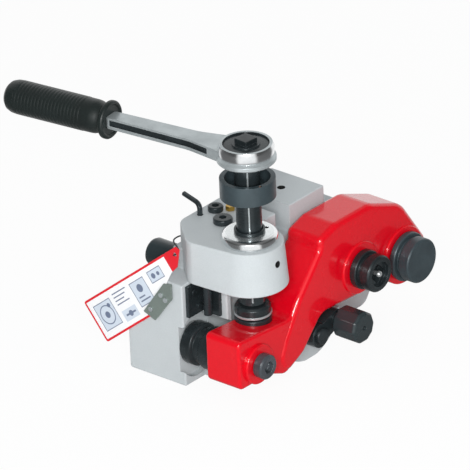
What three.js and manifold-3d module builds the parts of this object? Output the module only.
// Portable pipe roll groover: a cast frame, a swing arm with the grooving roll, a feed screw with
// its depth collar and ratchet wrench, a drive shaft with its roll, and the small fittings.
// Millimetres, +Z up. +X runs along the roll and shaft axes, +Y from the feed screw to the arm pivot.
// Inside the machine group the feed screw's axis is X = Y = 0 and the base plane is Z = 0.

import * as THREE from 'three';
import { mergeVertices } from 'three/addons/utils/BufferGeometryUtils.js';
import Module from 'manifold-3d';

const wasm = await Module();
wasm.setup();

// Driving sizes of the whole machine.
const bossTop = 160;
const bossHeight = 47;
const wallFace = -17;
const frameLeft = -86;
const frameRear = 137;
const pivotY = 200;
const pivotZ = 69;
const driveY = 132;
const driveZ = 83;
const rollY = -30;
const rollZ = 42;
const armGap = 2;
const armThickness = 46;
const screwRadius = 13;
const leverShare = 0.44295;
const leverZ = 28;

// Clearances, shared by every fit.
const runGap = 0.35;
const seatGap = 0.1;
const overrun = 5;

// Frame casting.
const bossTopRadius = 34;
const bossFootRadius = 37.5;
const bossBore = 20;
const blockFront = -40;
const blockCornerX = -50;
const blockCornerY = -8;
const blockCornerRadius = 16;
const recessBack = -20;
const slabLeft = -124;
const slabRight = -50;
const slabFront = -50;
const slabBack = 62;
const slabShoulder = 58;
const slabFlareTop = 88;
const slabRadius = 6;
const baseRear = 195;
const baseRearRadius = 14;
const lugRadius = 27;
const lugRound = 24.3;
const rearStepZ = 112;
const rearStepRadius = 10;
const channelFront = 60;
const channelWidth = 22;
const channelDepth = 30;
const lobeInset = 2;
const lobeZ = 49;
const lobeRadius = 49.6;
const lobeFace = 12;
const lobeTop = 38;
const lobeFrontInset = 26;
const lobeFrontZ = 13;
const screwReliefRadius = 22;
const reliefRadius = 24.5;
const reliefUp = 9;
const reliefDown = 12;
const reliefDepth = 12;
const pocketFront = 76;
const pocketRear = 186;
const pocketFloor = 14;
const pocketTop = 100;
const pocketDepth = 44;
const pocketRadius = 10;
const pocketRibWidth = 9;
const driveBossRadius = 27;
const pivotBossRadius = 26;
const threadedHoleX = -49;
const threadedHoleY = 108;
const threadedHoleRadius = 4.2;
const threadedHoleDepth = 22;

// Screw bush, its foot collar and set screw.
const bushFlangeRadius = 28.5;
const bushFlangeHeight = 4.5;
const bushLength = 44;
const bushChamfer = 1;
const spannerHoleRadius = 2.2;
const spannerHoleDepth = 3;
const spannerHoleOffset = 20;
const spannerHoleTurn = 85;
const footCollarRadius = 15.8;
const footCollarHeight = 5.5;
const setScrewRadius = 3.5;
const setScrewLength = 12;
const setScrewDrop = 17;
const setScrewSocket = 1.8;
const setScrewSocketDepth = 4;
const setScrewGrip = 2;

// Feed screw and thrust parts.
const screwTop = 249;
const thrustTop = 90;
const thrustHousingRadius = 18.5;
const thrustHousingHeight = 9;
const thrustRingRadius = 19.3;
const thrustRingHeight = 2.7;
const thrustNoseRadius = 10;
const cupRadius = 19;
const cupBore = 14.5;
const cupFoot = 68.3;
const cupTop = 76.9;
const cupFloor = 71;
const journalRadius = 9;
const journalLength = 5;
const squareWidth = 16;
const squareLength = 12;
const screwChamfer = 1.5;
const keywayWidth = 5;
const keywayDepth = 1.6;
const keywayTurn = 41;

// Depth collar.
const collarFoot = 210;
const collarHeight = 21;
const collarRadius = 28.4;
const collarChamfer = 0.8;
const collarCupRadius = 23.4;
const collarCupDepth = 12;
const lockScrewRadius = 1.9;
const lockScrewOffset = 25.9;
const lockScrewLength = 14;
const lockScrewSlot = 0.8;
const lockScrewTurn = -21;

// Ratchet wrench.
const wrenchTurn = 187.2;
const headFoot = 249.5;
const headHeight = 19.5;
const drumRadius = 28.4;
const flareRadius = 30.2;
const flareHeight = 5;
const flareRise = 3;
const rimRadius = 27;
const rimWidth = 3.4;
const rimDepth = 2.5;
const gearTipRadius = 19;
const gearRootRadius = 17.2;
const gearTeeth = 24;
const gearHeight = 12;
const headFloor = 1.6;
const coverRadius = 24;
const coverBore = 15;
const pawlNear = 20.2;
const pawlLength = 6;
const pawlWidth = 9;
const pawlHeight = 11;
const pawlRoomGap = 1;
const dialRadius = 13;
const dialHeight = 3.5;
const dialStemRadius = 4;
const selectorLength = 21;
const selectorBack = 10.4;
const selectorWidth = 6;
const selectorHeight = 4;
const shankRootX = 22;
const shankRootWidth = 38;
const shankNeckX = 62;
const shankNeckWidth = 21;
const shankEndX = 164;
const shankEndWidth = 17;
const shankThickness = 12.2;
const shankRaise = 0.6;
const shankGrooveWidth = 2.4;
const shankGrooveDepth = 1.2;
const guardX = 160;
const guardRadius = 20;
const guardThickness = 6;
const tangRadius = 6;
const tangEnd = 262;
const gripEnd = 284;
const gripRadius = 17.7;
const gripNeckRadius = 14.5;
const gripTaper = 8;
const gripNoseRadius = 9;

// Swing arm.
const armLength = 298;
const armHeight = 133;
const armFront = -58;
const armFoot = 14;
const armEdge = 4;
const axleBossRadius = 21;
const driveBossOuter = 28;
const pivotBossOuter = 31;
const armBossRise = 2;
const armStep = 2;
const armTravelDown = 10;
const armTravelUp = 7.5;
const slotMargin = 1.2;

// Pivot.
const pivotPinRadius = 15;
const pivotBushRadius = 19;
const pivotShoulder = 70;
const capFlangeRadius = 26;
const capFlangeThickness = 7;
const capNeckRadius = 20.5;
const capNeckLength = 3;
const capDiscRadius = 23.5;
const capDiscThickness = 13;
const capChamfer = 1.6;

// Groove roll and axle.
const rollRadius = 22.6;
const rollBodyRadius = 19.2;
const rollHubRadius = 14;
const rollLength = 39;
const rollEndGap = 1.2;
const rollNoseLength = 5;
const rollBeadWidth = 8.7;
const rollBush = 11;
const axleRadius = 8.5;
const axleHeadRadius = 13;
const axleHeadLength = 11;
const axleSocketWidth = 12;
const axleSocketDepth = 6;
const axleEndLength = 3;
const circlipRadius = 11.5;
const circlipThickness = 1.4;
const circlipGroove = 7.4;

// Drive shaft, bushes and drive roll.
const driveShaftRadius = 13;
const driveBushRadius = 17.5;
const driveBushLength = 22;
const driveFlangeRadius = 20.6;
const driveFlangeThickness = 8;
const driveNeckRadius = 16.5;
const driveNeckLength = 5;
const driveRingRadius = 19.4;
const driveRingLength = 11;
const driveSocketRadius = 13.4;
const driveSocketDepth = 12;
const driveSocketSquare = 16.4;
const driveSquareDepth = 8;
const ballRadius = 3.4;
const ballStemRadius = 2.2;
const ballDrop = 2;
const ballSeat = 3;
const driveRollRadius = 24;
const driveRollGrooveRadius = 21.4;
const driveRollLength = 34;
const driveRollFlangeRadius = 29;
const driveRollFlange = 6;
const driveRollKnurls = 36;
const driveRollSeatRadius = 10.5;
const driveNutWidth = 24;
const driveNutHeight = 9;
const driveStudRadius = 6.8;

// Crank lever and knob.
const leverLength = 26.6;
const leverAngle = 19.8;
const leverHubRadius = 13;
const leverEndRadius = 10;
const knobCollarRadius = 8.5;
const leverThickness = 13;
const leverPinRadius = 6;
const leverPinHeadRadius = 9;
const leverPinHead = 3.5;
const leverPinSeat = 20;
const knobRadius = 17;
const knobLength = 30;
const knobFlats = 10;
const knobChamfer = 2.4;
const knobDimple = 2.6;
const knobDimpleDepth = 2;
const knobPinRadius = 4.5;
const knobPinLength = 22;

// Left-hand guide roller.
const guideRollerY = 2;
const guideRollerZ = 107.8;
const guideRollerRadius = 15;
const guideRollerLength = 40;
const guideRollerRound = 4;
const guideAxleRadius = 5;
const guideAxleSeat = 20;
const guideAxleHeadRadius = 7.5;
const guideAxleHead = 3;
const guideRollerGap = 6;

// Guard plates and post in the recess over the groove roll.
const guidePlateThickness = 4;
const guidePlateFoot = 76.5;
const guidePlateDrop = 2;
const guidePlateFront = -45;
const guidePlateRear = -21.5;
const plateScrewRadius = 3.2;
const plateScrewHead = 1.8;
const plateScrewLength = 9;
const plateScrewInset = 8;
const backGuardThickness = 4;
const postRadius = 4.5;
const postX = -33;
const postStandOff = 6.5;
const postFoot = 79;
const postSeat = 12;

// Fittings on top of the casting.
const topScrewRearX = -70;
const topScrewRearY = 30;
const topScrewFrontX = -47;
const topScrewFrontY = 14;
const topScrewHeadRadius = 8;
const topKnobHeadRadius = 10;
const topScrewHeadHeight = 6;
const topScrewShank = 4;
const topScrewLength = 20;
const topScrewSocket = 7;
const topScrewSocketDepth = 3.5;
const plugX = -59;
const plugY = 40;
const plugWidth = 9;
const plugHeight = 5;
const plugShank = 3;
const plugLength = 10;
const keyX = -77;
const keyY = 14;
const keyWidth = 5;
const keyDepth = 30;
const keyHoleGap = 0.5;
const keyRise = 12;
const keyReach = 29;
const keyReachTurn = 163;
const keyBendRadius = 7;

// Tag, the steel clip that holds it, its rivets and its tie.
const tagEndX = -23.65;
const tagEndZ = 122.1;
const tagTilt = 38.5;
const tagLength = 164;
const tagWidth = 47;
const tagThickness = 1.2;
const tagCorner = 3;
const tagCutFar = 85;
const tagCutNear = 28;
const tagCutRise = 26.5;
const tagTabReach = 15.4;
const tagTabRise = 28.6;
const tagTipRise = 42;
const tagTipClip = 3;
const tagHoleInset = 9;
const tagHoleUp = 40.5;
const tagHoleRadius = 2.2;
const clipX = -99.9;
const clipZ = 72;
const clipTilt = 54.4;
const clipLength = 56;
const clipWidth = 17;
const clipHeel = 4;
const clipShoulder = 48;
const clipTipUp = 7;
const clipChin = 42;
const clipRound = 1;
const clipThickness = 1.6;
const rivetRadius = 1.6;
const rivetHeadRadius = 2.6;
const rivetHeadHeight = 1.2;
const rivetDepth = 5;
const rivetNear = 10.3;
const rivetFar = 35;
const rivetLow = 5;
const rivetHigh = 12.2;
const tieRadius = 0.8;
const tieStandOff = 3.5;
const tieTurnHeight = 140;
const tieFootHeight = 136;

// Origin of the part: the middle of the long foot under the main wall.
const originX = -52;
const originY = 90;

const white = 0xffffff;
const greyPaint = { color: 0xb9c1c4, roughness: 0.5, metalness: 0.05 };
const redPaint = { color: 0xcf1022, roughness: 0.28, metalness: 0.05 };
const blackSteel = { color: 0x1f2325, roughness: 0.42, metalness: 0.7 };
const slateSteel = { color: 0x3c474c, roughness: 0.5, metalness: 0.6 };
const chrome = { color: 0xd6d9db, roughness: 0.12, metalness: 1 };
const bronze = { color: 0xa9783f, roughness: 0.4, metalness: 0.9 };
const brass = { color: 0xc9a24a, roughness: 0.35, metalness: 0.9 };
const copper = { color: 0xb4714e, roughness: 0.35, metalness: 0.9 };
const rubber = { color: 0x17191a, roughness: 0.85, metalness: 0 };
const zinc = { color: 0x7b827c, roughness: 0.45, metalness: 0.8 };
const card = { color: white, roughness: 0.6, metalness: 0 };

const fine = 30;
const medium = 20;
const coarse = 10;

const armLeft = wallFace + armGap;
const armRight = armLeft + armThickness;
const leverY = armFront + leverShare * armLength;
const lobeY = leverY - lobeInset;
const lobeFrontY = leverY - lobeFrontInset;
const guidePlateTop = bossTop - bossHeight - guidePlateDrop;
const radians = THREE.MathUtils.degToRad;

// Closed geometry to a solid for cutting and joining, and back again.
function solid(geometry) {
  const bare = geometry.index ? geometry.toNonIndexed() : geometry.clone();
  bare.deleteAttribute('normal');
  bare.deleteAttribute('uv');
  const merged = mergeVertices(bare);
  const vertProperties = new Float32Array(merged.attributes.position.array);
  const triVerts = new Uint32Array(merged.index.array);
  return new wasm.Manifold(new wasm.Mesh({ numProp: 3, vertProperties, triVerts }));
}

function geometryOf(body) {
  const mesh = body.getMesh();
  const geometry = new THREE.BufferGeometry();
  geometry.setAttribute('position', new THREE.BufferAttribute(new Float32Array(mesh.vertProperties), 3));
  geometry.setIndex(new THREE.BufferAttribute(new Uint32Array(mesh.triVerts), 1));
  const flat = geometry.toNonIndexed();
  flat.computeVertexNormals();
  return flat;
}

// A box between two corners.
function block(x0, x1, y0, y1, z0, z1) {
  const geometry = new THREE.BoxGeometry(x1 - x0, y1 - y0, z1 - z0);
  return solid(geometry.translate((x0 + x1) / 2, (y0 + y1) / 2, (z0 + z1) / 2));
}

// Revolved bodies: points are [radius, place along the axis], starting and ending on the axis.
function turned(points, segments) {
  const profile = points.map(([r, a]) => new THREE.Vector2(r, a));
  return new THREE.LatheGeometry(profile, segments);
}

function turnedX(points, y, z, segments = medium) {
  return solid(turned(points, segments).rotateZ(-Math.PI / 2).translate(0, y, z));
}

function turnedZ(points, x, y, segments = medium) {
  return solid(turned(points, segments).rotateX(Math.PI / 2).translate(x, y, 0));
}

function rodX(radius, x0, x1, y, z, segments = medium) {
  return turnedX([[0, x0], [radius, x0], [radius, x1], [0, x1]], y, z, segments);
}

function rodY(radius, y0, y1, x, z, segments = coarse) {
  const geometry = new THREE.CylinderGeometry(radius, radius, y1 - y0, segments);
  return solid(geometry.translate(x, (y0 + y1) / 2, z));
}

function rodZ(radius, z0, z1, x, y, segments = medium) {
  return turnedZ([[0, z0], [radius, z0], [radius, z1], [0, z1]], x, y, segments);
}

// The two sides that meet in a corner of an outline: their directions, half their angle, the shorter one.
function sidesAt(corners, index) {
  const count = corners.length;
  const [a, b] = corners[index];
  const last = corners[(index + count - 1) % count];
  const next = corners[(index + 1) % count];
  const before = new THREE.Vector2(last[0] - a, last[1] - b);
  const after = new THREE.Vector2(next[0] - a, next[1] - b);
  const shorter = Math.min(before.length(), after.length());
  const cosine = before.normalize().dot(after.normalize());
  return { before, after, shorter, half: Math.acos(THREE.MathUtils.clamp(cosine, -1, 1)) / 2 };
}

// An outline whose corners [a, b, radius] are rounded.
function outline(corners) {
  const shape = new THREE.Shape();
  corners.forEach(([a, b, radius], index) => {
    const corner = new THREE.Vector2(a, b);
    const { before, after, half } = sidesAt(corners, index);
    const run = radius ? radius / Math.tan(half) : 0;
    const from = corner.clone().addScaledVector(before, run);
    const to = corner.clone().addScaledVector(after, run);
    if (index === 0) shape.moveTo(from.x, from.y);
    else shape.lineTo(from.x, from.y);
    if (radius) shape.quadraticCurveTo(corner.x, corner.y, to.x, to.y);
  });
  shape.closePath();
  return shape;
}

function extruded(shape, length, edge, steps, rounds) {
  const body = { depth: length - 2 * edge, curveSegments: steps, bevelEnabled: edge > 0 };
  const rim = { bevelThickness: edge, bevelSize: edge, bevelOffset: -edge, bevelSegments: rounds };
  return new THREE.ExtrudeGeometry(shape, { ...body, ...rim }).translate(0, 0, edge);
}

// Plates: an outline in two axes with its thickness along the third.
function plateYZ(shape, x0, x1, edge = 0, steps = 5, rounds = 1) {
  const turn = new THREE.Matrix4().makeBasis(axis.y, axis.z, axis.x);
  return solid(extruded(shape, x1 - x0, edge, steps, rounds).applyMatrix4(turn).translate(x0, 0, 0));
}

function plateXZ(shape, y0, y1, edge = 0, steps = 5, rounds = 1) {
  const turn = new THREE.Matrix4().makeBasis(axis.x, axis.z, axis.y.clone().negate());
  return solid(extruded(shape, y1 - y0, edge, steps, rounds).applyMatrix4(turn).translate(0, y1, 0));
}

function plateXY(shape, z0, z1, edge = 0, steps = 5, rounds = 1) {
  return solid(extruded(shape, z1 - z0, edge, steps, rounds).translate(0, 0, z0));
}

const axis = {
  x: new THREE.Vector3(1, 0, 0),
  y: new THREE.Vector3(0, 1, 0),
  z: new THREE.Vector3(0, 0, 1),
};

// A regular prism along Z, flat to flat size given, for sockets and nuts.
function prismZ(width, sides, z0, z1, x, y) {
  const radius = width / 2 / Math.cos(Math.PI / sides);
  const geometry = new THREE.CylinderGeometry(radius, radius, z1 - z0, sides);
  return solid(geometry.rotateX(Math.PI / 2).rotateZ(Math.PI / sides).translate(x, y, (z0 + z1) / 2));
}

function prismX(width, sides, x0, x1, y, z) {
  const radius = width / 2 / Math.cos(Math.PI / sides);
  const geometry = new THREE.CylinderGeometry(radius, radius, x1 - x0, sides);
  return solid(geometry.rotateZ(Math.PI / 2).rotateX(Math.PI / sides).translate((x0 + x1) / 2, y, z));
}

function paint(name, body, look) {
  const mesh = new THREE.Mesh(geometryOf(body), new THREE.MeshStandardMaterial(look));
  mesh.name = name;
  return mesh;
}

// Frame: the screw boss and top block, the long wall with the pivot lug, the foot slab and the lobe.
function topBlock() {
  const shape = outline([
    [frameLeft, frameRear, 0],
    [frameLeft, blockCornerY, blockCornerRadius],
    [blockCornerX, blockFront, blockCornerRadius],
    [0, blockFront + (bossFootRadius - bossTopRadius), 0],
    [0, bossTopRadius, 0],
    [wallFace, bossTopRadius, 0],
    [wallFace, frameRear, 0],
  ]);
  return plateXY(shape, bossTop - bossHeight, bossTop);
}

function screwBoss() {
  const foot = bossTop - bossHeight;
  return turnedZ([[0, foot], [bossFootRadius, foot], [bossTopRadius, bossTop], [0, bossTop]], 0, 0, fine);
}

function mainWall() {
  const shape = outline([
    [recessBack, 0, 0],
    [baseRear, 0, baseRearRadius],
    [pivotY + lugRadius, pivotZ - lugRadius, lugRound],
    [pivotY + lugRadius, pivotZ + lugRadius, lugRound],
    [frameRear + lugRadius, rearStepZ, rearStepRadius],
    [frameRear, rearStepZ, rearStepRadius / 2],
    [frameRear, bossTop - bossHeight / 2, 0],
    [recessBack, bossTop - bossHeight / 2, 0],
  ]);
  return plateYZ(shape, frameLeft, wallFace);
}

function footSlab() {
  const shape = outline([
    [slabLeft, 0, slabRadius / 2],
    [slabRight, 0, 0],
    [slabRight, bossTop - bossHeight, 0],
    [frameLeft, bossTop - bossHeight, 0],
    [frameLeft, slabFlareTop, slabRadius],
    [slabLeft, slabShoulder, slabRadius],
  ]);
  return plateXZ(shape, slabFront, slabBack, slabRadius / 3);
}

function toeLobe() {
  const disc = rodX(lobeRadius, wallFace - overrun, lobeFace, lobeY, lobeZ, fine);
  const keep = outline([
    [lobeFrontY - lobeRadius / 2, 0, 0],
    [lobeY + lobeRadius, 0, 0],
    [lobeY + lobeRadius, lobeTop, 0],
    [lobeY - lobeTop / 8, lobeTop, lobeTop / 8],
    [lobeFrontY, lobeFrontZ, lobeFrontZ / 4],
    [lobeFrontY - lobeRadius / 2, lobeFrontZ, 0],
  ]);
  return disc.intersect(plateYZ(keep, wallFace - overrun, lobeFace));
}

function sidePocket() {
  const shape = outline([
    [pocketFront, pocketFloor, pocketRadius],
    [pocketRear, pocketFloor, pocketRadius],
    [pocketRear, pocketTop, pocketRadius],
    [pocketFront, pocketTop, pocketRadius],
  ]);
  const inner = frameLeft + pocketDepth;
  const ribHalf = pocketRibWidth / 2;
  const rib = block(frameLeft - overrun, inner, driveY - ribHalf, driveY + ribHalf, 0, driveZ);
  return plateYZ(shape, frameLeft - overrun, inner)
    .subtract(rodX(driveBossRadius, frameLeft - 2 * overrun, inner + overrun, driveY, driveZ, fine))
    .subtract(rodX(pivotBossRadius, frameLeft - 2 * overrun, inner + overrun, pivotY, pivotZ, fine))
    .subtract(rib);
}

function rollRelief() {
  const low = rollZ - reliefDown;
  const high = rollZ + reliefUp;
  const from = slabRight - reliefDepth;
  const to = wallFace + overrun;
  return block(from, to, rollY - reliefRadius, rollY + reliefRadius, low, high)
    .add(rodX(reliefRadius, from, to, rollY, low))
    .add(rodX(reliefRadius, from, to, rollY, high));
}

function frameCasting() {
  const roof = bossTop - bossHeight;
  let body = topBlock().add(screwBoss()).add(mainWall()).add(footSlab()).add(toeLobe());
  const recess = block(slabRight, wallFace + overrun, slabFront - overrun, recessBack, -overrun, roof);
  const screwRelief = rodZ(screwReliefRadius, -overrun, roof, 0, 0, fine);
  const channelRear = channelFront + channelWidth;
  const channel = block(frameLeft - overrun, wallFace + overrun, channelFront, channelRear,
    bossTop - channelDepth, bossTop + overrun);
  const cuts = [
    recess,
    screwRelief,
    channel,
    sidePocket(),
    rollRelief(),
    rodZ(bossBore, roof - overrun, bossTop + overrun, 0, 0, fine),
    rodX(driveBushRadius + seatGap, frameLeft - overrun, wallFace + overrun, driveY, driveZ),
    rodX(pivotPinRadius + seatGap, frameLeft - overrun, wallFace + overrun, pivotY, pivotZ),
    threadedHole(),
    rodX(setScrewRadius + seatGap, bossBore - overrun, bossFootRadius + overrun, 0, bossTop - setScrewDrop,
      coarse),
    rodX(leverPinRadius + seatGap, lobeFace - leverPinSeat, lobeFace + overrun, leverY, leverZ, coarse),
    guideAxleHole(),
    screwHole(topScrewRearX, topScrewRearY),
    screwHole(topScrewFrontX, topScrewFrontY),
    rodZ(plugShank + seatGap, bossTop - plugLength, bossTop + overrun, plugX, plugY, coarse),
    prismZ(keyWidth + 2 * keyHoleGap, 6, bossTop - keyDepth - keyHoleGap, bossTop + overrun, keyX, keyY),
    ...plateScrewPlaces().map(([y, z]) =>
      rodX(plateScrewRadius / 2 + seatGap, slabRight - plateScrewLength, slabRight + overrun, y, z, coarse)),
    rodZ(postRadius + seatGap, roof - overrun, roof + postSeat, postX, postY(), coarse),
    ...rivetPlaces().map(([x, z]) =>
      rodY(rivetRadius + seatGap, slabFront - overrun, slabFront + rivetDepth, x, z)),
  ];
  for (const cut of cuts) body = body.subtract(cut);
  return body;
}

function threadedHole() {
  const foot = bossTop - threadedHoleDepth;
  return rodZ(threadedHoleRadius, foot, bossTop + overrun, threadedHoleX, threadedHoleY, coarse);
}

function guideAxleHole() {
  const x0 = frameLeft - overrun;
  return rodX(guideAxleRadius + seatGap, x0, frameLeft + guideAxleSeat, guideRollerY, guideRollerZ, coarse);
}

function screwHole(x, y) {
  return rodZ(topScrewShank + seatGap, bossTop - topScrewLength, bossTop + overrun, x, y);
}

// Screw bush: a flanged nut in the boss, with a spanner hole, and the dark collar at the screw's foot.
function screwBush() {
  const top = bossTop + bushFlangeHeight;
  const body = turnedZ([
    [0, bossTop - bushLength],
    [bossBore - seatGap, bossTop - bushLength],
    [bossBore - seatGap, bossTop],
    [bushFlangeRadius, bossTop],
    [bushFlangeRadius, top - bushChamfer],
    [bushFlangeRadius - bushChamfer, top],
    [0, top],
  ], 0, 0, fine);
  const hole = rodZ(spannerHoleRadius, top - spannerHoleDepth, top + overrun, spannerHoleOffset, 0, coarse)
    .rotate([0, 0, spannerHoleTurn]);
  return body
    .subtract(rodZ(screwRadius + runGap, bossTop - bushLength - overrun, top + overrun, 0, 0, fine))
    .subtract(hole)
    .subtract(rodX(setScrewRadius + seatGap, bossBore - setScrewGrip, bossBore + overrun, 0,
      bossTop - setScrewDrop, coarse));
}

function footCollar() {
  const foot = bossTop + bushFlangeHeight;
  const top = foot + footCollarHeight;
  return turnedZ([
    [0, foot],
    [footCollarRadius, foot],
    [footCollarRadius, top - bushChamfer],
    [footCollarRadius - bushChamfer, top],
    [0, top],
  ], 0, 0, medium).subtract(rodZ(screwRadius + runGap, foot - overrun, top + overrun, 0, 0, fine));
}

function bushSetScrew() {
  const inner = bossBore - setScrewGrip + seatGap;
  const outer = inner + setScrewLength;
  const z = bossTop - setScrewDrop;
  return rodX(setScrewRadius, inner, outer, 0, z, coarse)
    .subtract(prismX(2 * setScrewSocket, 6, outer - setScrewSocketDepth, outer + overrun, 0, z));
}

// Feed screw with a square top end, a keyway along one side and a journal at its foot.
function feedScrew() {
  const journalFoot = thrustTop - journalLength;
  const shaft = turnedZ([
    [0, journalFoot],
    [journalRadius, journalFoot],
    [journalRadius, thrustTop + runGap],
    [screwRadius - screwChamfer, thrustTop + runGap],
    [screwRadius, thrustTop + runGap + screwChamfer],
    [screwRadius, screwTop - screwChamfer],
    [screwRadius - screwChamfer, screwTop],
    [0, screwTop],
  ], 0, 0, fine);
  const square = prismZ(squareWidth, 4, screwTop - screwChamfer, screwTop + squareLength, 0, 0);
  const key = block(-keywayWidth / 2, keywayWidth / 2, -screwRadius - overrun, -screwRadius + keywayDepth,
    thrustTop + overrun, screwTop - overrun);
  return shaft.add(square).subtract(key.rotate([0, 0, keywayTurn]));
}

function thrustHousing() {
  const foot = thrustTop - thrustHousingHeight;
  return turnedZ([
    [0, foot],
    [thrustHousingRadius, foot],
    [thrustHousingRadius, thrustTop - bushChamfer],
    [thrustHousingRadius - bushChamfer, thrustTop],
    [0, thrustTop],
  ], 0, 0).subtract(rodZ(journalRadius + runGap, thrustTop - journalLength - runGap,
    thrustTop + overrun, 0, 0));
}

// Bright thrust ring under the housing, with the rounded nose that presses on the arm's cup.
function thrustRing() {
  const top = thrustTop - thrustHousingHeight;
  const foot = top - thrustRingHeight;
  const tip = cupFloor + runGap;
  const steps = 5;
  const nose = [];
  for (let step = 0; step <= steps; step += 1) {
    const angle = (step / steps) * (Math.PI / 2);
    nose.push([thrustNoseRadius * Math.sin(angle), foot - (foot - tip) * Math.cos(angle)]);
  }
  return turnedZ([...nose, [thrustRingRadius - bushChamfer, foot], [thrustRingRadius, foot + bushChamfer],
    [thrustRingRadius, top], [0, top]], 0, 0);
}

function thrustCup() {
  return turnedZ([
    [0, cupFoot],
    [cupRadius, cupFoot],
    [cupRadius, cupTop - bushChamfer],
    [cupRadius - bushChamfer, cupTop],
    [cupBore, cupTop],
    [cupBore, cupFloor],
    [0, cupFloor],
  ], 0, 0);
}

// Depth collar: a cup on the screw, with a small lock screw let into its rim.
function lockScrewRod(radius, from, to) {
  return rodZ(radius, from, to, lockScrewOffset, 0, coarse).rotate([0, 0, lockScrewTurn]);
}

function depthCollar() {
  const top = collarFoot + collarHeight;
  const cup = turnedZ([
    [0, collarFoot],
    [collarRadius - collarChamfer, collarFoot],
    [collarRadius, collarFoot + collarChamfer],
    [collarRadius, top - collarChamfer],
    [collarRadius - collarChamfer, top],
    [collarCupRadius, top],
    [collarCupRadius, top - collarCupDepth],
    [0, top - collarCupDepth],
  ], 0, 0, fine);
  return cup
    .subtract(rodZ(screwRadius + runGap, collarFoot - overrun, top + overrun, 0, 0, fine))
    .subtract(lockScrewRod(lockScrewRadius + seatGap, top - lockScrewLength - seatGap, top + overrun));
}

function collarLockScrew() {
  const top = collarFoot + collarHeight;
  const half = lockScrewSlot / 2;
  const slot = block(0, lockScrewOffset + overrun, -half, half, top - lockScrewSlot, top + overrun);
  return lockScrewRod(lockScrewRadius, top - lockScrewLength, top)
    .subtract(slot.rotate([0, 0, lockScrewTurn]));
}

// Ratchet wrench, drawn along +X from the centre of its head.
function ratchetBody() {
  const top = headFoot + headHeight;
  const head = turnedZ([
    [0, headFoot],
    [flareRadius - flareRise / 2, headFoot],
    [flareRadius, headFoot + flareRise / 2],
    [flareRadius, headFoot + flareHeight],
    [drumRadius - flareRise / 2, headFoot + flareHeight + flareRise],
    [drumRadius, top - rimDepth - flareRise],
    [rimRadius, top],
    [rimRadius - rimWidth, top],
    [rimRadius - rimWidth - rimDepth, top - rimDepth],
    [0, top - rimDepth],
  ], 0, 0, fine);
  const midZ = headFoot + shankRaise + shankThickness / 2;
  const plan = outline([
    [shankRootX, -shankRootWidth / 2, 0],
    [shankNeckX, -shankNeckWidth / 2, shankNeckX],
    [shankEndX, -shankEndWidth / 2, shankEndWidth / 3],
    [shankEndX, shankEndWidth / 2, shankEndWidth / 3],
    [shankNeckX, shankNeckWidth / 2, shankNeckX],
    [shankRootX, shankRootWidth / 2, 0],
  ]);
  const shank = plateXY(plan, midZ - shankThickness / 2, midZ + shankThickness / 2, shankThickness / 5);
  const tang = rodX(tangRadius, shankEndX - overrun, tangEnd, 0, midZ, coarse);
  const grooveFar = shankEndWidth / 2 + overrun;
  let body = head.add(shank).add(tang);
  for (const side of [-1, 1]) {
    const near = side * (shankEndWidth / 2 - shankGrooveDepth);
    const groove = block(shankNeckX, guardX - overrun, Math.min(near, side * grooveFar),
      Math.max(near, side * grooveFar), midZ - shankGrooveWidth / 2, midZ + shankGrooveWidth / 2);
    body = body.subtract(groove);
  }
  const chamberTop = headFoot + headFloor + gearHeight + 2 * runGap;
  const pawlRoom = block(0, pawlNear + pawlLength + pawlRoomGap, -pawlWidth / 2 - pawlRoomGap,
    pawlWidth / 2 + pawlRoomGap, headFoot + headFloor, chamberTop);
  return body
    .subtract(rodZ(gearTipRadius + runGap, headFoot + headFloor, chamberTop, 0, 0, fine))
    .subtract(rodZ(coverRadius + seatGap, headFoot - overrun, headFoot + headFloor + seatGap, 0, 0, fine))
    .subtract(pawlRoom)
    .subtract(rodZ(dialStemRadius + runGap, chamberTop - overrun, top + overrun, 0, 0, coarse));
}

function ratchetCover() {
  return rodZ(coverRadius, headFoot, headFoot + headFloor, 0, 0, fine)
    .subtract(rodZ(coverBore, headFoot - overrun, headFoot + headFloor + overrun, 0, 0));
}

// Ratchet wheel: the teeth are symmetric so that it drives both ways; a square bore fits the feed screw.
function ratchetGear() {
  const points = [];
  const toothShares = [[0, gearRootRadius], [0.35, gearTipRadius], [0.65, gearTipRadius]];
  for (let tooth = 0; tooth < gearTeeth; tooth += 1) {
    const pitch = (2 * Math.PI) / gearTeeth;
    for (const [share, radius] of toothShares) {
      const angle = (tooth + share) * pitch;
      points.push([radius * Math.cos(angle), radius * Math.sin(angle), 0]);
    }
  }
  const foot = headFoot + headFloor + runGap;
  const top = foot + gearHeight;
  const hub = squareWidth + 2 * runGap;
  return plateXY(outline(points), foot, top)
    .subtract(prismZ(hub, 4, foot - overrun, screwTop + squareLength + runGap, 0, 0));
}

function pawl() {
  const foot = headFoot + headFloor + runGap;
  const tip = pawlNear - runGap;
  const shape = outline([
    [tip, 0, 0],
    [tip + pawlLength / 3, -pawlWidth / 2, 0],
    [tip + pawlLength, -pawlWidth / 2, pawlLength / 4],
    [tip + pawlLength, pawlWidth / 2, pawlLength / 4],
    [tip + pawlLength / 3, pawlWidth / 2, 0],
  ]);
  return plateXY(shape, foot, foot + pawlHeight);
}

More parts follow.
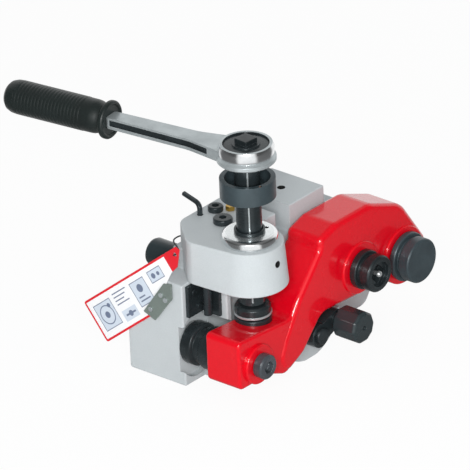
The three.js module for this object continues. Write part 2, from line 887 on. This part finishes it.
// Selector: a round dial in the recess of the head, with its direction lever and stem.
function selector() {
  const floor = headFoot + headHeight - rimDepth;
  const dialFoot = floor + runGap;
  const dialTop = dialFoot + dialHeight;
  const stemFoot = headFoot + headFloor + gearHeight + 3 * runGap;
  const bar = outline([
    [-selectorBack, -selectorWidth / 2, selectorWidth / 3],
    [selectorLength, -selectorWidth / 3, selectorWidth / 4],
    [selectorLength, selectorWidth / 3, selectorWidth / 4],
    [-selectorBack, selectorWidth / 2, selectorWidth / 3],
  ]);
  return turnedZ([
    [0, stemFoot],
    [dialStemRadius, stemFoot],
    [dialStemRadius, dialFoot],
    [dialRadius, dialFoot],
    [dialRadius, dialTop - bushChamfer],
    [dialRadius - bushChamfer, dialTop],
    [0, dialTop],
  ], 0, 0).add(plateXY(bar, dialTop - bushChamfer, dialTop + selectorHeight, bushChamfer / 2));
}

function handleGuard() {
  const z = headFoot + shankRaise + shankThickness / 2;
  const far = guardX + guardThickness;
  const tip = shankEndX - shankEndWidth / 3;
  return turnedX([
    [0, guardX],
    [guardRadius - bushChamfer, guardX],
    [guardRadius, guardX + bushChamfer],
    [guardRadius, far - bushChamfer],
    [guardRadius - bushChamfer, far],
    [0, far],
  ], 0, z, fine).subtract(block(tip - shankEndWidth, shankEndX + seatGap, -shankEndWidth / 2 - seatGap,
    shankEndWidth / 2 + seatGap, z - shankThickness / 2 - seatGap, z + shankThickness / 2 + seatGap))
    .subtract(rodX(tangRadius + seatGap, guardX, far + overrun, 0, z, coarse));
}

// Rubber grip with a narrower neck and a rounded end.
function grip() {
  const z = headFoot + shankRaise + shankThickness / 2;
  const near = guardX + guardThickness;
  const profile = [[0, near], [gripNeckRadius, near], [gripRadius, near + gripTaper]];
  const steps = 5;
  for (let step = 0; step <= steps; step += 1) {
    const angle = (step / steps) * (Math.PI / 2);
    const radius = gripRadius - gripNoseRadius + gripNoseRadius * Math.cos(angle);
    profile.push([radius, gripEnd - gripNoseRadius + gripNoseRadius * Math.sin(angle)]);
  }
  profile.push([0, gripEnd]);
  const bore = rodX(tangRadius + seatGap, near - overrun, tangEnd + seatGap, 0, z, coarse);
  return turnedX(profile, 0, z).subtract(bore);
}

// Swing arm: the C-shaped casting seen from the side, rounded at its edges, with raised bosses.
// Each corner is [along, up, rounding]: places are shares of the arm's length and height, and the
// rounding runs over that share of the shorter side beside the corner.
function armOutline() {
  const cornerShares = [
    [0, 0.06, 0.118],
    [0, 0.466, 0.13],
    [0.277, 0.414, 0.092],
    [0.44, 0.85, 0.296],
    [0.418, 0.992, 0.548],
    [0.71, 0.988, 0.074],
    [0.878, 0.835, 0.167],
    [0.998, 0.44, 0.161],
    [0.985, 0.14, 0.773],
    [0.81, 0.26, 0.026],
    [0.436, 0.312, 0.188],
    [0.334, 0.079, 0.078],
    [0.24, -0.02, 0.19],
    [0.16, 0.053, 0.093],
  ];
  return armShape(cornerShares);
}

function armShape(shares) {
  const corners = shares.map(([along, up]) => [armFront + along * armLength, armFoot + up * armHeight]);
  return outline(corners.map(([y, z], index) => {
    const { shorter, half } = sidesAt(corners, index);
    return [y, z, shares[index][2] * shorter * Math.tan(half)];
  }));
}

// The roll block's outer face is set back from the web's: the layer taken off in front of the web.
function blockStep() {
  const stepShares = [
    [-0.04, -0.18, 0],
    [0.19, -0.18, 0],
    [0.2, 0.05, 0],
    [0.233, 0.263, 0],
    [0.302, 0.496, 0],
    [0.302, 0.647, 0],
    [-0.04, 0.647, 0],
  ];
  return plateYZ(armShape(stepShares), armRight - armStep, armRight + overrun)
    .subtract(rodX(axleBossRadius, armRight - overrun, armRight + 2 * overrun, rollY, rollZ, fine));
}

function driveSlot() {
  const reach = pivotY - driveY;
  const up = (armTravelDown * reach) / pivotY + slotMargin;
  const down = (armTravelUp * reach) / pivotY + slotMargin;
  const radius = driveShaftRadius + slotMargin;
  const from = armLeft - overrun;
  const to = armRight + armBossRise + overrun;
  const middle = block(from, to, driveY - radius, driveY + radius, driveZ - down, driveZ + up);
  return middle
    .add(rodX(radius, from, to, driveY, driveZ + up))
    .add(rodX(radius, from, to, driveY, driveZ - down));
}

function swingArm() {
  const face = armRight + armBossRise;
  const bosses = [
    rodX(axleBossRadius, armRight - armEdge, face, rollY, rollZ, fine),
    rodX(driveBossOuter, armRight - armEdge, face, driveY, driveZ, fine),
    rodX(pivotBossOuter, armRight - armEdge, face, pivotY, pivotZ, fine),
  ];
  let body = plateYZ(armOutline(), armLeft, armRight, armEdge, 4, 2);
  for (const boss of bosses) body = body.add(boss);
  body = body.subtract(blockStep());
  const rear = armFront + armLength + overrun;
  const front = armFront - overrun;
  const lowBoss = block(armRight - overrun, face + overrun, front, rear, -overrun, armFoot - armEdge);
  return body
    .subtract(lowBoss)
    .subtract(driveSlot())
    .subtract(rodX(pivotBushRadius + seatGap, armLeft - overrun, face + overrun, pivotY, pivotZ))
    .subtract(rodX(axleRadius + seatGap, armLeft - overrun, face + overrun, rollY, rollZ))
    .subtract(rodZ(cupRadius + seatGap, cupFoot - seatGap, cupTop + 2 * overrun, 0, 0, fine));
}

function pivotBush() {
  const face = armRight + armBossRise;
  return rodX(pivotBushRadius, armLeft, face, pivotY, pivotZ)
    .subtract(rodX(pivotPinRadius + runGap, armLeft - overrun, face + overrun, pivotY, pivotZ));
}

function pivotPin() {
  const end = armRight + armBossRise + runGap;
  return rodX(pivotPinRadius, wallFace - pivotShoulder + seatGap, end, pivotY, pivotZ);
}

// Pivot cap: a flange against the arm's boss, a neck and the flat outer disc.
function pivotCap() {
  const x0 = armRight + armBossRise + runGap;
  const x1 = x0 + capFlangeThickness;
  const x2 = x1 + capNeckLength;
  const x3 = x2 + capDiscThickness;
  return turnedX([
    [0, x0],
    [capFlangeRadius - capChamfer, x0],
    [capFlangeRadius, x0 + capChamfer],
    [capFlangeRadius, x1 - capChamfer],
    [capFlangeRadius - capChamfer, x1],
    [capNeckRadius, x1],
    [capNeckRadius, x2],
    [capDiscRadius - capChamfer, x2],
    [capDiscRadius, x2 + capChamfer],
    [capDiscRadius, x3 - capChamfer],
    [capDiscRadius - capChamfer, x3],
    [0, x3],
  ], pivotY, pivotZ, fine);
}

// Groove roll: a rounded nose, the raised grooving bead and a plain body round the hub bore.
function grooveRoll() {
  const x1 = armLeft - rollEndGap;
  const x0 = x1 - rollLength;
  const bead = x0 + rollNoseLength + rollBeadWidth;
  return turnedX([
    [0, x0],
    [rollHubRadius, x0],
    [rollBodyRadius - bushChamfer, x0 + rollNoseLength / 3],
    [rollBodyRadius, x0 + rollNoseLength],
    [rollRadius - bushChamfer, x0 + rollNoseLength + bushChamfer],
    [rollRadius, x0 + rollNoseLength + 2 * bushChamfer],
    [rollRadius, bead - bushChamfer],
    [rollRadius - bushChamfer, bead],
    [rollBodyRadius, bead + bushChamfer],
    [rollBodyRadius, bead + rollBeadWidth],
    [rollRadius - bushChamfer, bead + rollBeadWidth + bushChamfer],
    [rollRadius, bead + rollBeadWidth + 2 * bushChamfer],
    [rollRadius, x1 - bushChamfer],
    [rollRadius - bushChamfer, x1],
    [0, x1],
  ], rollY, rollZ, fine).subtract(rodX(rollBush + seatGap, x0 - overrun, x1 + overrun, rollY, rollZ));
}

function rollBushing() {
  const x1 = armLeft - rollEndGap;
  const x0 = x1 - rollLength;
  return rodX(rollBush, x0, x1, rollY, rollZ)
    .subtract(rodX(axleRadius + runGap, x0 - overrun, x1 + overrun, rollY, rollZ));
}

function rollWasher() {
  return rodX(rollHubRadius, armLeft - rollEndGap + seatGap, armLeft - seatGap, rollY, rollZ)
    .subtract(rodX(axleRadius + runGap, armLeft - rollEndGap - overrun, armLeft + overrun, rollY, rollZ));
}

function rollAxle() {
  const face = armRight + armBossRise;
  const rollEnd = armLeft - rollEndGap - rollLength;
  const clip = rollEnd - runGap;
  return turnedX([
    [0, clip - circlipThickness - axleEndLength],
    [axleRadius - bushChamfer, clip - circlipThickness - axleEndLength],
    [axleRadius, clip - circlipThickness - axleEndLength + bushChamfer],
    [axleRadius, clip - circlipThickness],
    [circlipGroove, clip - circlipThickness],
    [circlipGroove, clip],
    [axleRadius, clip],
    [axleRadius, face],
    [axleHeadRadius - bushChamfer, face],
    [axleHeadRadius, face + bushChamfer],
    [axleHeadRadius, face + axleHeadLength - capChamfer],
    [axleHeadRadius - capChamfer, face + axleHeadLength],
    [0, face + axleHeadLength],
  ], rollY, rollZ).subtract(prismX(axleSocketWidth, 6, face + axleHeadLength - axleSocketDepth,
    face + axleHeadLength + overrun, rollY, rollZ));
}

function rollCirclip() {
  const clip = armLeft - rollEndGap - rollLength - runGap;
  return rodX(circlipRadius, clip - circlipThickness + seatGap, clip - seatGap, rollY, rollZ)
    .subtract(rodX(circlipGroove + seatGap, clip - overrun, clip + overrun, rollY, rollZ))
    .subtract(block(clip - overrun, clip + overrun, rollY - circlipThickness, rollY + circlipThickness,
      rollZ, rollZ + 2 * circlipRadius));
}

// Drive shaft with the square socket for the wrench in its outer ring, and its bearings.
function driveShaft() {
  const flange = armRight + armBossRise + runGap;
  const neck = flange + driveFlangeThickness;
  const ring = neck + driveNeckLength;
  const face = ring + driveRingLength;
  const rollFace = frameLeft - runGap;
  const rollEnd = rollFace - driveRollLength - driveRollFlange;
  const shaft = turnedX([
    [0, rollEnd - driveNutHeight - seatGap],
    [driveStudRadius, rollEnd - driveNutHeight - seatGap],
    [driveStudRadius, rollEnd + overrun],
    [driveRollSeatRadius, rollEnd + overrun],
    [driveRollSeatRadius, rollFace],
    [driveShaftRadius, rollFace],
    [driveShaftRadius, flange],
    [driveFlangeRadius - bushChamfer, flange],
    [driveFlangeRadius, flange + bushChamfer],
    [driveFlangeRadius, neck - bushChamfer],
    [driveFlangeRadius - bushChamfer, neck],
    [driveNeckRadius, neck],
    [driveNeckRadius, ring],
    [driveRingRadius - bushChamfer, ring],
    [driveRingRadius, ring + bushChamfer],
    [driveRingRadius, face - capChamfer],
    [driveRingRadius - capChamfer, face],
    [0, face],
  ], driveY, driveZ, fine);
  return shaft
    .subtract(rodX(driveSocketRadius, face - driveSocketDepth + driveSquareDepth, face + overrun, driveY,
      driveZ))
    .subtract(prismX(driveSocketSquare, 4, face - driveSocketDepth, face + overrun, driveY, driveZ))
    .subtract(rodX(ballStemRadius + seatGap, socketFloor() - ballSeat, face, driveY, driveZ, coarse));
}

// Floor of the square socket.
function socketFloor() {
  const flange = armRight + armBossRise + runGap;
  return flange + driveFlangeThickness + driveNeckLength + driveRingLength - driveSocketDepth;
}

// Round-headed nipple on its stem in the middle of the socket.
function socketBall() {
  const centre = socketFloor() + driveSocketDepth - ballDrop;
  const ball = new THREE.SphereGeometry(ballRadius, coarse, coarse / 2).translate(centre, driveY, driveZ);
  const stemStart = socketFloor() - ballSeat + seatGap;
  return solid(ball).add(rodX(ballStemRadius, stemStart, centre, driveY, driveZ, coarse));
}

function driveBush(x0, x1) {
  return rodX(driveBushRadius, x0, x1, driveY, driveZ)
    .subtract(rodX(driveShaftRadius + runGap, x0 - overrun, x1 + overrun, driveY, driveZ));
}

// Drive roll on the far side of the frame: a knurled band either side of the groove, and a flange.
function driveRoll() {
  const x1 = frameLeft - runGap - seatGap;
  const flange = x1 - driveRollFlange;
  const x0 = flange - driveRollLength;
  const middle = (x0 + flange) / 2;
  const groove = rollBeadWidth / 2 + bushChamfer;
  const body = turnedX([
    [0, x0],
    [driveRollRadius - capChamfer, x0],
    [driveRollRadius, x0 + capChamfer],
    [driveRollRadius, middle - groove],
    [driveRollGrooveRadius, middle - groove + bushChamfer],
    [driveRollGrooveRadius, middle + groove - bushChamfer],
    [driveRollRadius, middle + groove],
    [driveRollRadius, flange],
    [driveRollFlangeRadius, flange],
    [driveRollFlangeRadius, x1],
    [0, x1],
  ], driveY, driveZ, driveRollKnurls);
  const bore = rodX(driveRollSeatRadius + seatGap, x0 - overrun, x1 + overrun, driveY, driveZ, fine);
  return body.subtract(bore);
}

function driveRollNut() {
  const x1 = frameLeft - runGap - driveRollFlange - driveRollLength - 2 * seatGap;
  return prismX(driveNutWidth, 6, x1 - driveNutHeight, x1, driveY, driveZ)
    .subtract(rodX(driveStudRadius + seatGap, x1 - driveNutHeight - overrun, x1 + overrun, driveY, driveZ));
}

// Crank lever: two round ends joined by a waisted web, with a knob that turns on its pin.
function knobPlace() {
  const angle = radians(leverAngle);
  return [leverY + leverLength * Math.cos(angle), leverZ + leverLength * Math.sin(angle)];
}

function crankLever() {
  const [knobY, knobZ] = knobPlace();
  const x0 = lobeFace + runGap;
  const x1 = x0 + leverThickness;
  const web = outline([
    [0, -leverEndRadius, 0],
    [leverLength, -leverEndRadius, 0],
    [leverLength, leverEndRadius, 0],
    [0, leverEndRadius, 0],
  ]);
  const turn = new THREE.Matrix4().makeRotationX(radians(leverAngle)).setPosition(0, leverY, leverZ);
  return plateYZ(web, x0, x1).transform(turn.elements)
    .add(rodX(leverHubRadius, x0, x1, leverY, leverZ))
    .add(rodX(leverEndRadius, x0, x1, knobY, knobZ))
    .subtract(rodX(leverPinRadius + runGap, x0 - overrun, x1 + overrun, leverY, leverZ, coarse))
    .subtract(rodX(knobPinRadius + seatGap, x0 - overrun, x1 + overrun, knobY, knobZ, coarse));
}

function leverPin() {
  const x1 = lobeFace + 2 * runGap + leverThickness;
  return turnedX([
    [0, lobeFace - leverPinSeat + seatGap],
    [leverPinRadius, lobeFace - leverPinSeat + seatGap],
    [leverPinRadius, x1],
    [leverPinHeadRadius, x1],
    [leverPinHeadRadius, x1 + leverPinHead - bushChamfer],
    [leverPinHeadRadius - bushChamfer, x1 + leverPinHead],
    [0, x1 + leverPinHead],
  ], leverY, leverZ, coarse);
}

function knobFoot() {
  return Math.max(lobeFace + leverThickness + 2 * runGap, armRight + 2 * runGap);
}

function knobPin() {
  const [knobY, knobZ] = knobPlace();
  return turnedX([
    [0, lobeFace + 2 * runGap],
    [knobPinRadius, lobeFace + 2 * runGap],
    [knobPinRadius, knobFoot() - runGap],
    [knobPinRadius, knobFoot() + knobPinLength],
    [0, knobFoot() + knobPinLength],
  ], knobY, knobZ, coarse).add(rodX(knobCollarRadius, lobeFace + leverThickness + runGap,
    knobFoot() - runGap, knobY, knobZ));
}

function crankKnob() {
  const [knobY, knobZ] = knobPlace();
  const x0 = knobFoot();
  const x1 = x0 + knobLength;
  return turnedX([
    [0, x0],
    [knobRadius - knobChamfer, x0],
    [knobRadius, x0 + knobChamfer],
    [knobRadius, x1 - knobChamfer],
    [knobRadius - knobChamfer, x1],
    [0, x1],
  ], knobY, knobZ, knobFlats)
    .subtract(rodX(knobPinRadius + runGap, x0 - overrun, x0 + knobPinLength + runGap, knobY, knobZ, coarse))
    .subtract(rodX(knobDimple, x1 - knobDimpleDepth, x1 + overrun, knobY, knobZ, coarse));
}

// Guide roller on the left side of the frame, on a shouldered axle.
function guideRoller() {
  const x1 = frameLeft - guideRollerGap;
  const x0 = x1 - guideRollerLength;
  return turnedX([
    [0, x0],
    [guideRollerRadius - guideRollerRound, x0],
    [guideRollerRadius - guideRollerRound / 4, x0 + guideRollerRound / 3],
    [guideRollerRadius, x0 + guideRollerRound],
    [guideRollerRadius, x1 - guideRollerRound / 2],
    [guideRollerRadius - guideRollerRound / 2, x1],
    [0, x1],
  ], guideRollerY, guideRollerZ).subtract(rodX(guideAxleRadius + runGap, x0 - overrun, x1 + overrun,
    guideRollerY, guideRollerZ, coarse));
}

function guideAxle() {
  const x1 = frameLeft - guideRollerGap;
  const x0 = x1 - guideRollerLength;
  return turnedX([
    [0, x0 - runGap - guideAxleHead],
    [guideAxleHeadRadius, x0 - runGap - guideAxleHead],
    [guideAxleHeadRadius, x0 - runGap],
    [guideAxleRadius, x0 - runGap],
    [guideAxleRadius, x1 + runGap],
    [guideAxleHeadRadius, x1 + runGap],
    [guideAxleHeadRadius, frameLeft - seatGap],
    [guideAxleRadius, frameLeft - seatGap],
    [guideAxleRadius, frameLeft + guideAxleSeat - seatGap],
    [0, frameLeft + guideAxleSeat - seatGap],
  ], guideRollerY, guideRollerZ, coarse);
}

// Guard plates of black steel in the recess over the groove roll, and the post that hangs there.
function postY() {
  return recessBack - backGuardThickness - seatGap - postStandOff;
}

function plateScrewPlaces() {
  return [
    [guidePlateFront + plateScrewInset, guidePlateTop - plateScrewInset],
    [guidePlateRear - plateScrewInset, guidePlateFoot + plateScrewInset],
  ];
}

function guidePlate() {
  let plate = block(slabRight + seatGap, slabRight + guidePlateThickness, guidePlateFront, guidePlateRear,
    guidePlateFoot, guidePlateTop);
  const far = slabRight + 2 * overrun;
  for (const [y, z] of plateScrewPlaces()) {
    plate = plate.subtract(rodX(plateScrewRadius / 2 + seatGap, slabRight - overrun, far, y, z, coarse));
  }
  return plate;
}

function plateScrew([y, z]) {
  const face = slabRight + guidePlateThickness + seatGap;
  return turnedX([
    [0, slabRight - plateScrewLength + seatGap],
    [plateScrewRadius / 2, slabRight - plateScrewLength + seatGap],
    [plateScrewRadius / 2, face],
    [plateScrewRadius, face],
    [plateScrewRadius, face + plateScrewHead],
    [0, face + plateScrewHead],
  ], y, z, coarse);
}

function backGuard() {
  return block(slabRight + guidePlateThickness + 2 * plateScrewHead, wallFace - screwRadius / 2,
    recessBack - backGuardThickness, recessBack - seatGap, guidePlateFoot, guidePlateTop);
}

function guidePost() {
  const roof = bossTop - bossHeight;
  return rodZ(postRadius, postFoot, roof + postSeat - seatGap, postX, postY(), coarse);
}

// Fittings on the top of the casting: two socket screws, a brass plug and the stowed hexagon key.
function topScrew(x, y, headRadius) {
  const top = bossTop + topScrewHeadHeight;
  return turnedZ([
    [0, bossTop - topScrewLength + seatGap],
    [topScrewShank, bossTop - topScrewLength + seatGap],
    [topScrewShank, bossTop + seatGap],
    [headRadius, bossTop + seatGap],
    [headRadius, top - bushChamfer],
    [headRadius - bushChamfer, top],
    [0, top],
  ], x, y).subtract(prismZ(topScrewSocket, 6, top - topScrewSocketDepth, top + overrun, x, y));
}

function brassPlug() {
  return prismZ(plugWidth, 6, bossTop + seatGap, bossTop + plugHeight, plugX, plugY)
    .add(rodZ(plugShank, bossTop - plugLength + seatGap, bossTop + plugHeight / 2, plugX, plugY, coarse));
}

function hexKey() {
  const bend = new THREE.CurvePath();
  const foot = new THREE.Vector3(keyX, keyY, bossTop - keyDepth);
  const corner = new THREE.Vector3(keyX, keyY, bossTop + keyRise);
  const turn = radians(keyReachTurn);
  const along = new THREE.Vector3(keyReach * Math.cos(turn), keyReach * Math.sin(turn), 0);
  const end = corner.clone().add(along);
  const armDirection = end.clone().sub(corner).normalize();
  const before = corner.clone().setZ(corner.z - keyBendRadius);
  const after = corner.clone().addScaledVector(armDirection, keyBendRadius);
  bend.add(new THREE.LineCurve3(foot, before));
  bend.add(new THREE.QuadraticBezierCurve3(before, corner, after));
  bend.add(new THREE.LineCurve3(after, end));
  const radius = keyWidth / 2 / Math.cos(Math.PI / 6);
  const section = new THREE.Shape();
  for (let side = 0; side < 6; side += 1) {
    const angle = (side * Math.PI) / 3 + Math.PI / 6;
    const x = radius * Math.cos(angle);
    const y = radius * Math.sin(angle);
    if (side === 0) section.moveTo(x, y);
    else section.lineTo(x, y);
  }
  section.closePath();
  return solid(new THREE.ExtrudeGeometry(section, { steps: 24, bevelEnabled: false, extrudePath: bend }));
}

// Tag: a card drawn flat, back from its tab end, then tilted, with a cut-away corner and a hanging tab.
function tilted(x, z, tilt, along, up) {
  const angle = radians(tilt);
  const across = along * Math.cos(angle) - up * Math.sin(angle);
  const rise = along * Math.sin(angle) + up * Math.cos(angle);
  return [x + across, z + rise];
}

function tiltedShape(x, z, tilt, corners) {
  return outline(corners.map(([along, up, round]) => [...tilted(x, z, tilt, along, up), round]));
}

function tagHole() {
  return tilted(tagEndX, tagEndZ, tagTilt, -tagHoleInset, tagHoleUp);
}

function tagCard() {
  const shape = tiltedShape(tagEndX, tagEndZ, tagTilt, [
    [-tagLength, 0, tagCorner],
    [-tagCutFar, 0, tagCorner],
    [-tagCutNear, tagCutRise, 0],
    [-tagTabReach, tagTabRise, 0],
    [0, tagTipRise, 0],
    [-tagTipClip, tagWidth, 0],
    [-tagLength, tagWidth, tagCorner],
  ]);
  const [holeX, holeZ] = tagHole();
  const back = slabFront - seatGap;
  let card = plateXZ(shape, back - tagThickness, back);
  card = card.subtract(rodY(tagHoleRadius, back - 2 * overrun, back + overrun, holeX, holeZ));
  for (const [x, z] of rivetPlaces()) {
    card = card.subtract(rodY(rivetRadius + seatGap, back - 2 * overrun, back + overrun, x, z));
  }
  return card;
}

// Clip: a folded steel plate riveted to the slab over the lower corner of the tag.
function clipBack() {
  return slabFront - 2 * seatGap - tagThickness;
}

function tagClip() {
  const shape = tiltedShape(clipX, clipZ, clipTilt, [
    [0, 0, clipRound],
    [clipHeel, -clipWidth + clipRound, clipRound],
    [clipChin, -clipWidth, clipRound],
    [clipLength, -clipTipUp, clipRound],
    [clipShoulder, 0, clipRound],
  ]);
  let clip = plateXZ(shape, clipBack() - clipThickness, clipBack());
  for (const [x, z] of rivetPlaces()) {
    clip = clip.subtract(rodY(rivetRadius + seatGap, slabFront - 2 * overrun, slabFront + overrun, x, z));
  }
  return clip;
}

function rivetPlaces() {
  return [
    tilted(clipX, clipZ, clipTilt, rivetNear, -rivetLow),
    tilted(clipX, clipZ, clipTilt, rivetFar, -rivetLow),
    tilted(clipX, clipZ, clipTilt, rivetFar, -rivetHigh),
  ];
}

function tagRivet([x, z]) {
  const face = clipBack() - clipThickness - seatGap;
  const shank = rodY(rivetRadius, face - seatGap, slabFront + rivetDepth - seatGap, x, z);
  return shank.add(rodY(rivetHeadRadius, face - rivetHeadHeight, face, x, z));
}

// Tie: a thin cord from the hole in the tab round the corner of the top block to the guide roller's axle.
function tagTie() {
  const [holeX, holeZ] = tagHole();
  const side = frameLeft - tieStandOff;
  const curve = new THREE.CatmullRomCurve3([
    new THREE.Vector3(holeX, slabFront - tieStandOff, holeZ),
    new THREE.Vector3(holeX, slabFront + tieStandOff, holeZ),
    new THREE.Vector3(side, blockCornerY - tieStandOff, tieTurnHeight),
    new THREE.Vector3(side, guideRollerY, tieFootHeight),
    new THREE.Vector3(side, guideRollerY, guideRollerZ + guideAxleHeadRadius + tieRadius + seatGap),
  ]);
  const section = new THREE.Shape();
  section.absarc(0, 0, tieRadius, 0, 2 * Math.PI);
  const options = { steps: medium, curveSegments: 3, bevelEnabled: false, extrudePath: curve };
  return solid(new THREE.ExtrudeGeometry(section, options));
}

const machine = new THREE.Group();
machine.position.set(-originX, -originY, 0);

machine.add(
  paint('frame_casting', frameCasting(), greyPaint),
  paint('screw_bush', screwBush(), chrome),
  paint('screw_foot_collar', footCollar(), blackSteel),
  paint('bush_set_screw', bushSetScrew(), blackSteel),
  paint('feed_screw', feedScrew(), blackSteel),
  paint('thrust_housing', thrustHousing(), blackSteel),
  paint('thrust_ring', thrustRing(), chrome),
  paint('thrust_cup', thrustCup(), blackSteel),
  paint('depth_collar', depthCollar(), slateSteel),
  paint('collar_lock_screw', collarLockScrew(), copper),
  paint('swing_arm', swingArm(), redPaint),
  paint('pivot_bush', pivotBush(), bronze),
  paint('pivot_pin', pivotPin(), blackSteel),
  paint('pivot_cap', pivotCap(), slateSteel),
  paint('groove_roll', grooveRoll(), blackSteel),
  paint('roll_bush', rollBushing(), bronze),
  paint('roll_washer', rollWasher(), bronze),
  paint('roll_axle', rollAxle(), blackSteel),
  paint('roll_circlip', rollCirclip(), blackSteel),
  paint('drive_shaft', driveShaft(), blackSteel),
  paint('socket_ball', socketBall(), chrome),
  paint('drive_bush_outer', driveBush(wallFace - driveBushLength, wallFace), bronze),
  paint('drive_bush_inner', driveBush(frameLeft, frameLeft + driveBushLength), bronze),
  paint('drive_roll', driveRoll(), blackSteel),
  paint('drive_roll_nut', driveRollNut(), blackSteel),
  paint('crank_lever', crankLever(), blackSteel),
  paint('crank_lever_pin', leverPin(), blackSteel),
  paint('crank_knob_pin', knobPin(), blackSteel),
  paint('crank_knob', crankKnob(), rubber),
  paint('guide_roller', guideRoller(), rubber),
  paint('guide_roller_axle', guideAxle(), blackSteel),
  paint('guide_plate', guidePlate(), blackSteel),
  paint('back_guard', backGuard(), blackSteel),
  paint('guide_post', guidePost(), blackSteel),
  paint('top_screw_rear', topScrew(topScrewRearX, topScrewRearY, topScrewHeadRadius), blackSteel),
  paint('top_screw_front', topScrew(topScrewFrontX, topScrewFrontY, topKnobHeadRadius), blackSteel),
  paint('brass_plug', brassPlug(), brass),
  paint('hex_key', hexKey(), blackSteel),
  paint('tag_card', tagCard(), card),
  paint('tag_clip', tagClip(), zinc),
  paint('tag_tie', tagTie(), rubber),
);
plateScrewPlaces().forEach((place, index) => {
  machine.add(paint(`guide_plate_screw_${index + 1}`, plateScrew(place), blackSteel));
});
rivetPlaces().forEach((place, index) => {
  machine.add(paint(`tag_rivet_${index + 1}`, tagRivet(place), zinc));
});

const wrench = new THREE.Group();
wrench.rotation.z = radians(wrenchTurn);
wrench.add(
  paint('ratchet_body', ratchetBody(), chrome),
  paint('ratchet_cover', ratchetCover(), chrome),
  paint('pawl', pawl(), blackSteel),
  paint('selector', selector(), blackSteel),
  paint('handle_guard', handleGuard(), blackSteel),
  paint('grip', grip(), rubber),
);
machine.add(wrench, paint('ratchet_gear', ratchetGear(), blackSteel));

const part = new THREE.Group();
part.add(machine);

export default part;
